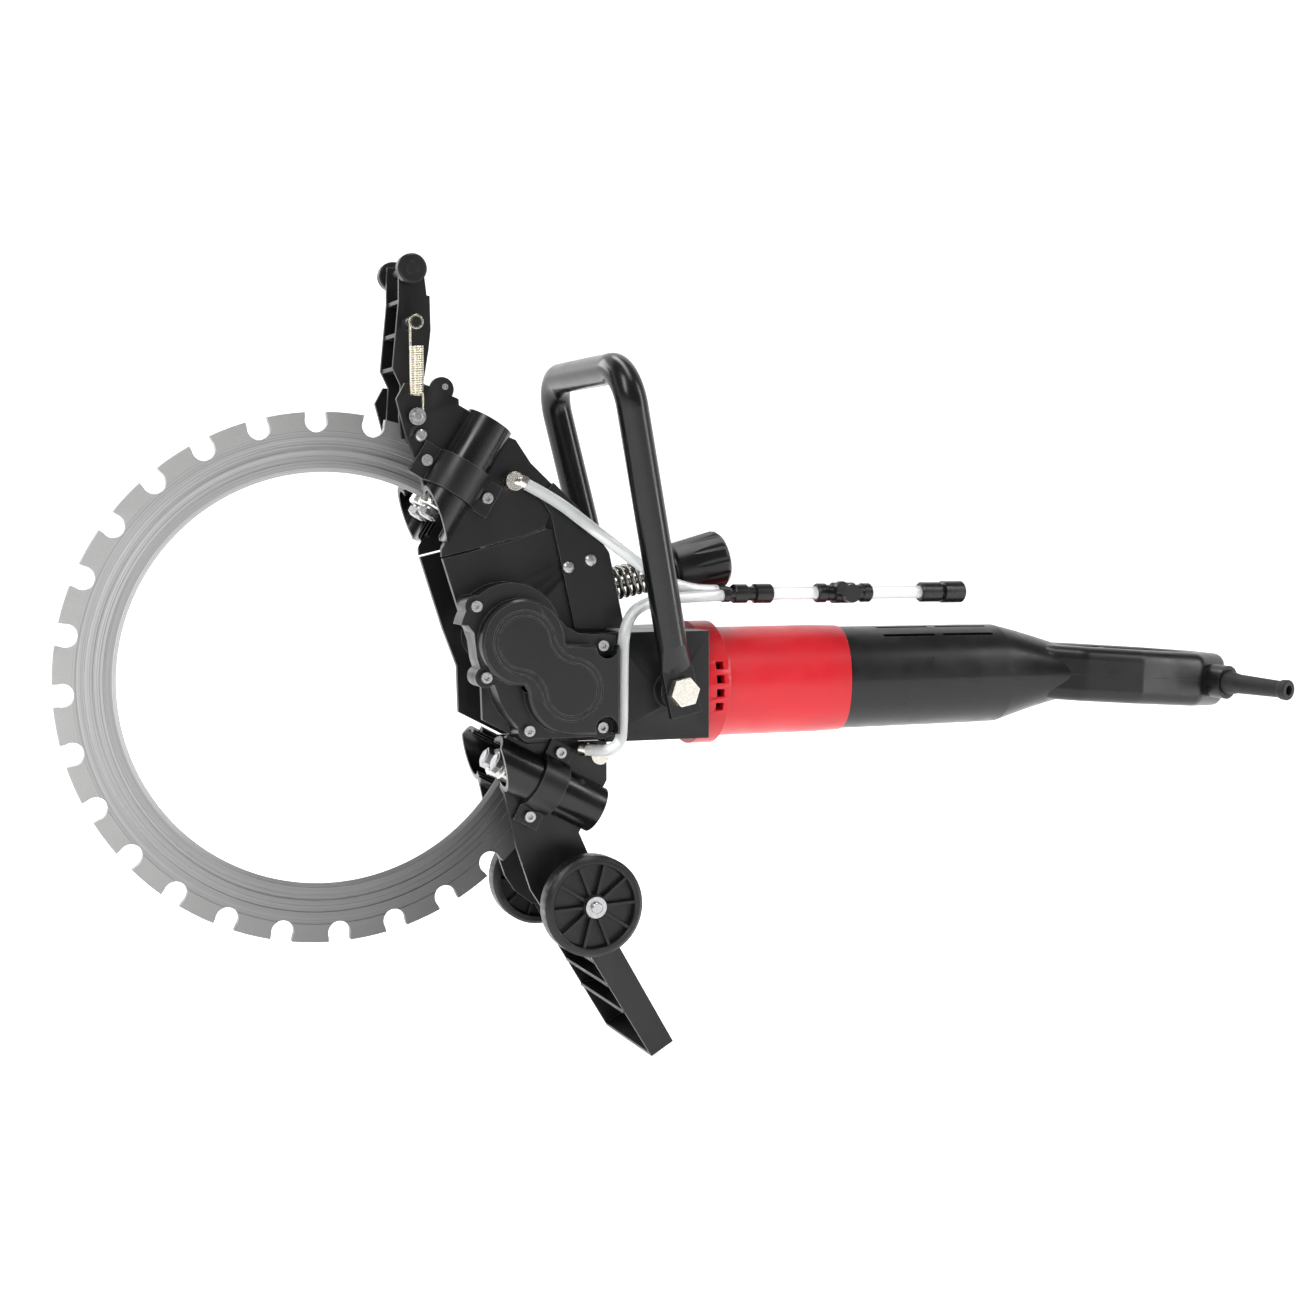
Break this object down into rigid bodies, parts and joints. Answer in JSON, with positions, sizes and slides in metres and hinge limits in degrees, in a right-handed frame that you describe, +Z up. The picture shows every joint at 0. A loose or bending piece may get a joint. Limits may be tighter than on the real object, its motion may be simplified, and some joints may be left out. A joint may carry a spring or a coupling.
{
  "type": "ring saw",
  "caption": "Hand-held electric ring saw: toothed diamond ring gripped by guide rollers, geared edge drive, front hoop handle, rear D-handle and a water line.",
  "frame": {"origin": "centre of the ring blade, in the middle of its thickness", "axes": "+X back from the ring towards the motor and rear handle, +Y across the ring to the far side, +Z up"},
  "size_m": [0.8722, 0.1903, 0.538],
  "materials": {
    "black_paint": "satin black powder coat",
    "black_gloss": "gloss black enamel",
    "screw_steel": "dull steel",
    "bolt_zinc": "bright zinc with a faint yellow tint",
    "blade_steel": "turned steel, worn matt",
    "hard_steel": "ground steel",
    "gear_steel": "hobbed and greased steel",
    "iron_core": "laminated iron, varnished",
    "copper_bar": "copper bars, lightly tarnished",
    "carbon": "pressed carbon",
    "fan_plastic": "glass-filled nylon",
    "red_housing": "smooth red moulding",
    "red_trigger": "smooth red moulding",
    "black_housing": "satin black moulding",
    "black_rubber": "matt black rubber",
    "wheel_plastic": "black nylon",
    "spring_steel": "drawn wire",
    "clear_hose": "clear soft PVC",
    "fitting_plastic": "black acetal",
    "barb_nickel": "nickel plate"
  },
  "bodies": {
    "frame": {"arm_spring": "spring_steel", "ball_bearings": "hard_steel", "bracket_rivets": "screw_steel", "carbon_brushes": "carbon", "case_screws": "screw_steel", "cord_sleeve": "black_rubber", "front_handle": "black_gloss", "gear_case": "black_paint", "gear_cover": "black_paint", "guard_lower_far": "black_paint", "guard_lower_near": "black_paint", "guard_upper_far": "black_paint", "guard_upper_near": "black_paint", "guide_tube_lower_far": "black_gloss", "guide_tube_lower_near": "black_gloss", "guide_tube_upper_far": "black_gloss", "guide_tube_upper_near": "black_gloss", "handle_bolts": "bolt_zinc", "hose_barbs": "barb_nickel", "hose_lower": "clear_hose", "hose_upper": "clear_hose", "line_tubes": "clear_hose", "motor_housing": "red_housing", "pivot_pins": "screw_steel", "rear_housing_bottom": "black_housing", "rear_housing_top": "black_housing", "roller_axles": "screw_steel", "stator": "iron_core", "switch_body": "fan_plastic", "tension_bracket": "black_paint", "tension_rod": "hard_steel", "tension_spring": "spring_steel", "tube_clamps": "black_paint", "valve_body": "fitting_plastic", "water_coupler": "fitting_plastic", "y_connector": "fitting_plastic"},
    "blade": {"ring_blade": "blade_steel"},
    "drive_line": {"drive_roller": "hard_steel", "drive_shaft": "gear_steel", "drive_gear": "gear_steel"},
    "idler": {"idler_gear": "gear_steel"},
    "layshaft_set": {"layshaft": "gear_steel", "bevel_gear": "gear_steel"},
    "armature": {"armature_shaft": "gear_steel", "armature_core": "iron_core", "commutator": "copper_bar", "cooling_fan": "fan_plastic"},
    "roller_upper_near": {"guide_roller_upper_near": "hard_steel"},
    "roller_upper_far": {"guide_roller_upper_far": "hard_steel"},
    "roller_lower_near": {"guide_roller_lower_near": "hard_steel"},
    "roller_lower_far": {"guide_roller_lower_far": "hard_steel"},
    "arm": {"guard_arm": "black_paint"},
    "arm_wheels": {"arm_rollers": "wheel_plastic"},
    "near_wheel": {"wheel_near": "wheel_plastic"},
    "far_wheel": {"wheel_far": "wheel_plastic"},
    "wedge": {"wedge_guard": "black_paint"},
    "trigger_paddle": {"trigger": "red_trigger"},
    "lever": {"valve_lever": "fitting_plastic"},
    "spring_washer": {"tension_washer": "hard_steel"},
    "knob": {"tension_knob": "black_housing"}
  },
  "joints": [
    {"name": "blade_spin", "type": "hinge", "parent": "frame", "child": "blade", "pos_m": [0, 0, 0], "axis": [0, 1, 0], "continuous": true},
    {"name": "drive_spin", "type": "hinge", "parent": "frame", "child": "drive_line", "pos_m": [0.11669, 0, 0.0248], "axis": [0, 1, 0], "continuous": true},
    {"name": "idler_spin", "type": "hinge", "parent": "frame", "child": "idler", "pos_m": [0.14949, 0, -0.00709], "axis": [0, 1, 0], "continuous": true},
    {"name": "layshaft_spin", "type": "hinge", "parent": "frame", "child": "layshaft_set", "pos_m": [0.20344, 0, -0.0095], "axis": [0, 1, 0], "continuous": true},
    {"name": "armature_spin", "type": "hinge", "parent": "frame", "child": "armature", "pos_m": [0.3, 0, -0.0095], "axis": [1, 0, 0], "continuous": true},
    {"name": "upper_near_roller_spin", "type": "hinge", "parent": "frame", "child": "roller_upper_near", "pos_m": [0.07511, -0.0128, 0.12403], "axis": [0.518, 0, 0.8554], "continuous": true},
    {"name": "lower_near_roller_spin", "type": "hinge", "parent": "frame", "child": "roller_lower_near", "pos_m": [0.12862, -0.0128, -0.06695], "axis": [0.887, 0, -0.4617], "continuous": true},
    {"name": "upper_far_roller_spin", "type": "hinge", "parent": "frame", "child": "roller_upper_far", "pos_m": [0.07511, 0.0128, 0.12403], "axis": [0.518, 0, 0.8554], "continuous": true},
    {"name": "lower_far_roller_spin", "type": "hinge", "parent": "frame", "child": "roller_lower_far", "pos_m": [0.12862, 0.0128, -0.06695], "axis": [0.887, 0, -0.4617], "continuous": true},
    {"name": "arm_swing", "type": "hinge", "parent": "frame", "child": "arm", "pos_m": [0.0564, 0, 0.1592], "axis": [0, 1, 0], "range_deg": [0, 45], "stiffness_Nm_per_rad": 0.35, "springref_deg": -11.46, "deforming": ["arm_spring"]},
    {"name": "arm_wheel_spin", "type": "hinge", "parent": "arm", "child": "arm_wheels", "pos_m": [0.0524, 0, 0.267], "axis": [0, 1, 0], "continuous": true},
    {"name": "near_wheel_spin", "type": "hinge", "parent": "frame", "child": "near_wheel", "pos_m": [0.163, -0.0615, -0.151], "axis": [0, 1, 0], "continuous": true},
    {"name": "far_wheel_spin", "type": "hinge", "parent": "frame", "child": "far_wheel", "pos_m": [0.163, 0.0615, -0.151], "axis": [0, 1, 0], "continuous": true},
    {"name": "wedge_swing", "type": "hinge", "parent": "frame", "child": "wedge", "pos_m": [0.163, 0, -0.151], "axis": [0, 1, 0], "range_deg": [-25, 20]},
    {"name": "trigger_press", "type": "slide", "parent": "frame", "child": "trigger_paddle", "axis": [0, 1, 0], "range_m": [0, 0.004], "stiffness_N_per_m": 900, "springref_m": -0.003},
    {"name": "valve_turn", "type": "hinge", "parent": "frame", "child": "lever", "pos_m": [0.36674, -0.01898, 0.05235], "axis": [0.0716, -0.9974, 0], "range_deg": [0, 90]},
    {"name": "washer_slide", "type": "slide", "parent": "frame", "child": "spring_washer", "axis": [-0.9781, 0, -0.2079], "range_m": [0, 0.00601], "deforming": ["tension_spring"]},
    {"name": "knob_turn", "type": "hinge", "parent": "spring_washer", "child": "knob", "pos_m": [0.2605, 0, 0.07306], "axis": [0.9781, 0, 0.2079], "range_deg": [0, 1440]}
  ],
  "couplings": [
    {"joint": "drive_spin", "follows": "blade_spin", "ratio": 8.3827},
    {"joint": "idler_spin", "follows": "blade_spin", "ratio": -6.6569},
    {"joint": "layshaft_spin", "follows": "blade_spin", "ratio": 5.9561},
    {"joint": "armature_spin", "follows": "blade_spin", "ratio": -11.912},
    {"joint": "upper_near_roller_spin", "follows": "blade_spin", "ratio": -14.078},
    {"joint": "upper_far_roller_spin", "follows": "blade_spin", "ratio": 14.078},
    {"joint": "lower_near_roller_spin", "follows": "blade_spin", "ratio": -14.078},
    {"joint": "lower_far_roller_spin", "follows": "blade_spin", "ratio": 14.078},
    {"joint": "washer_slide", "follows": "knob_turn", "m_per_rad": 0.00023873}
  ]
}
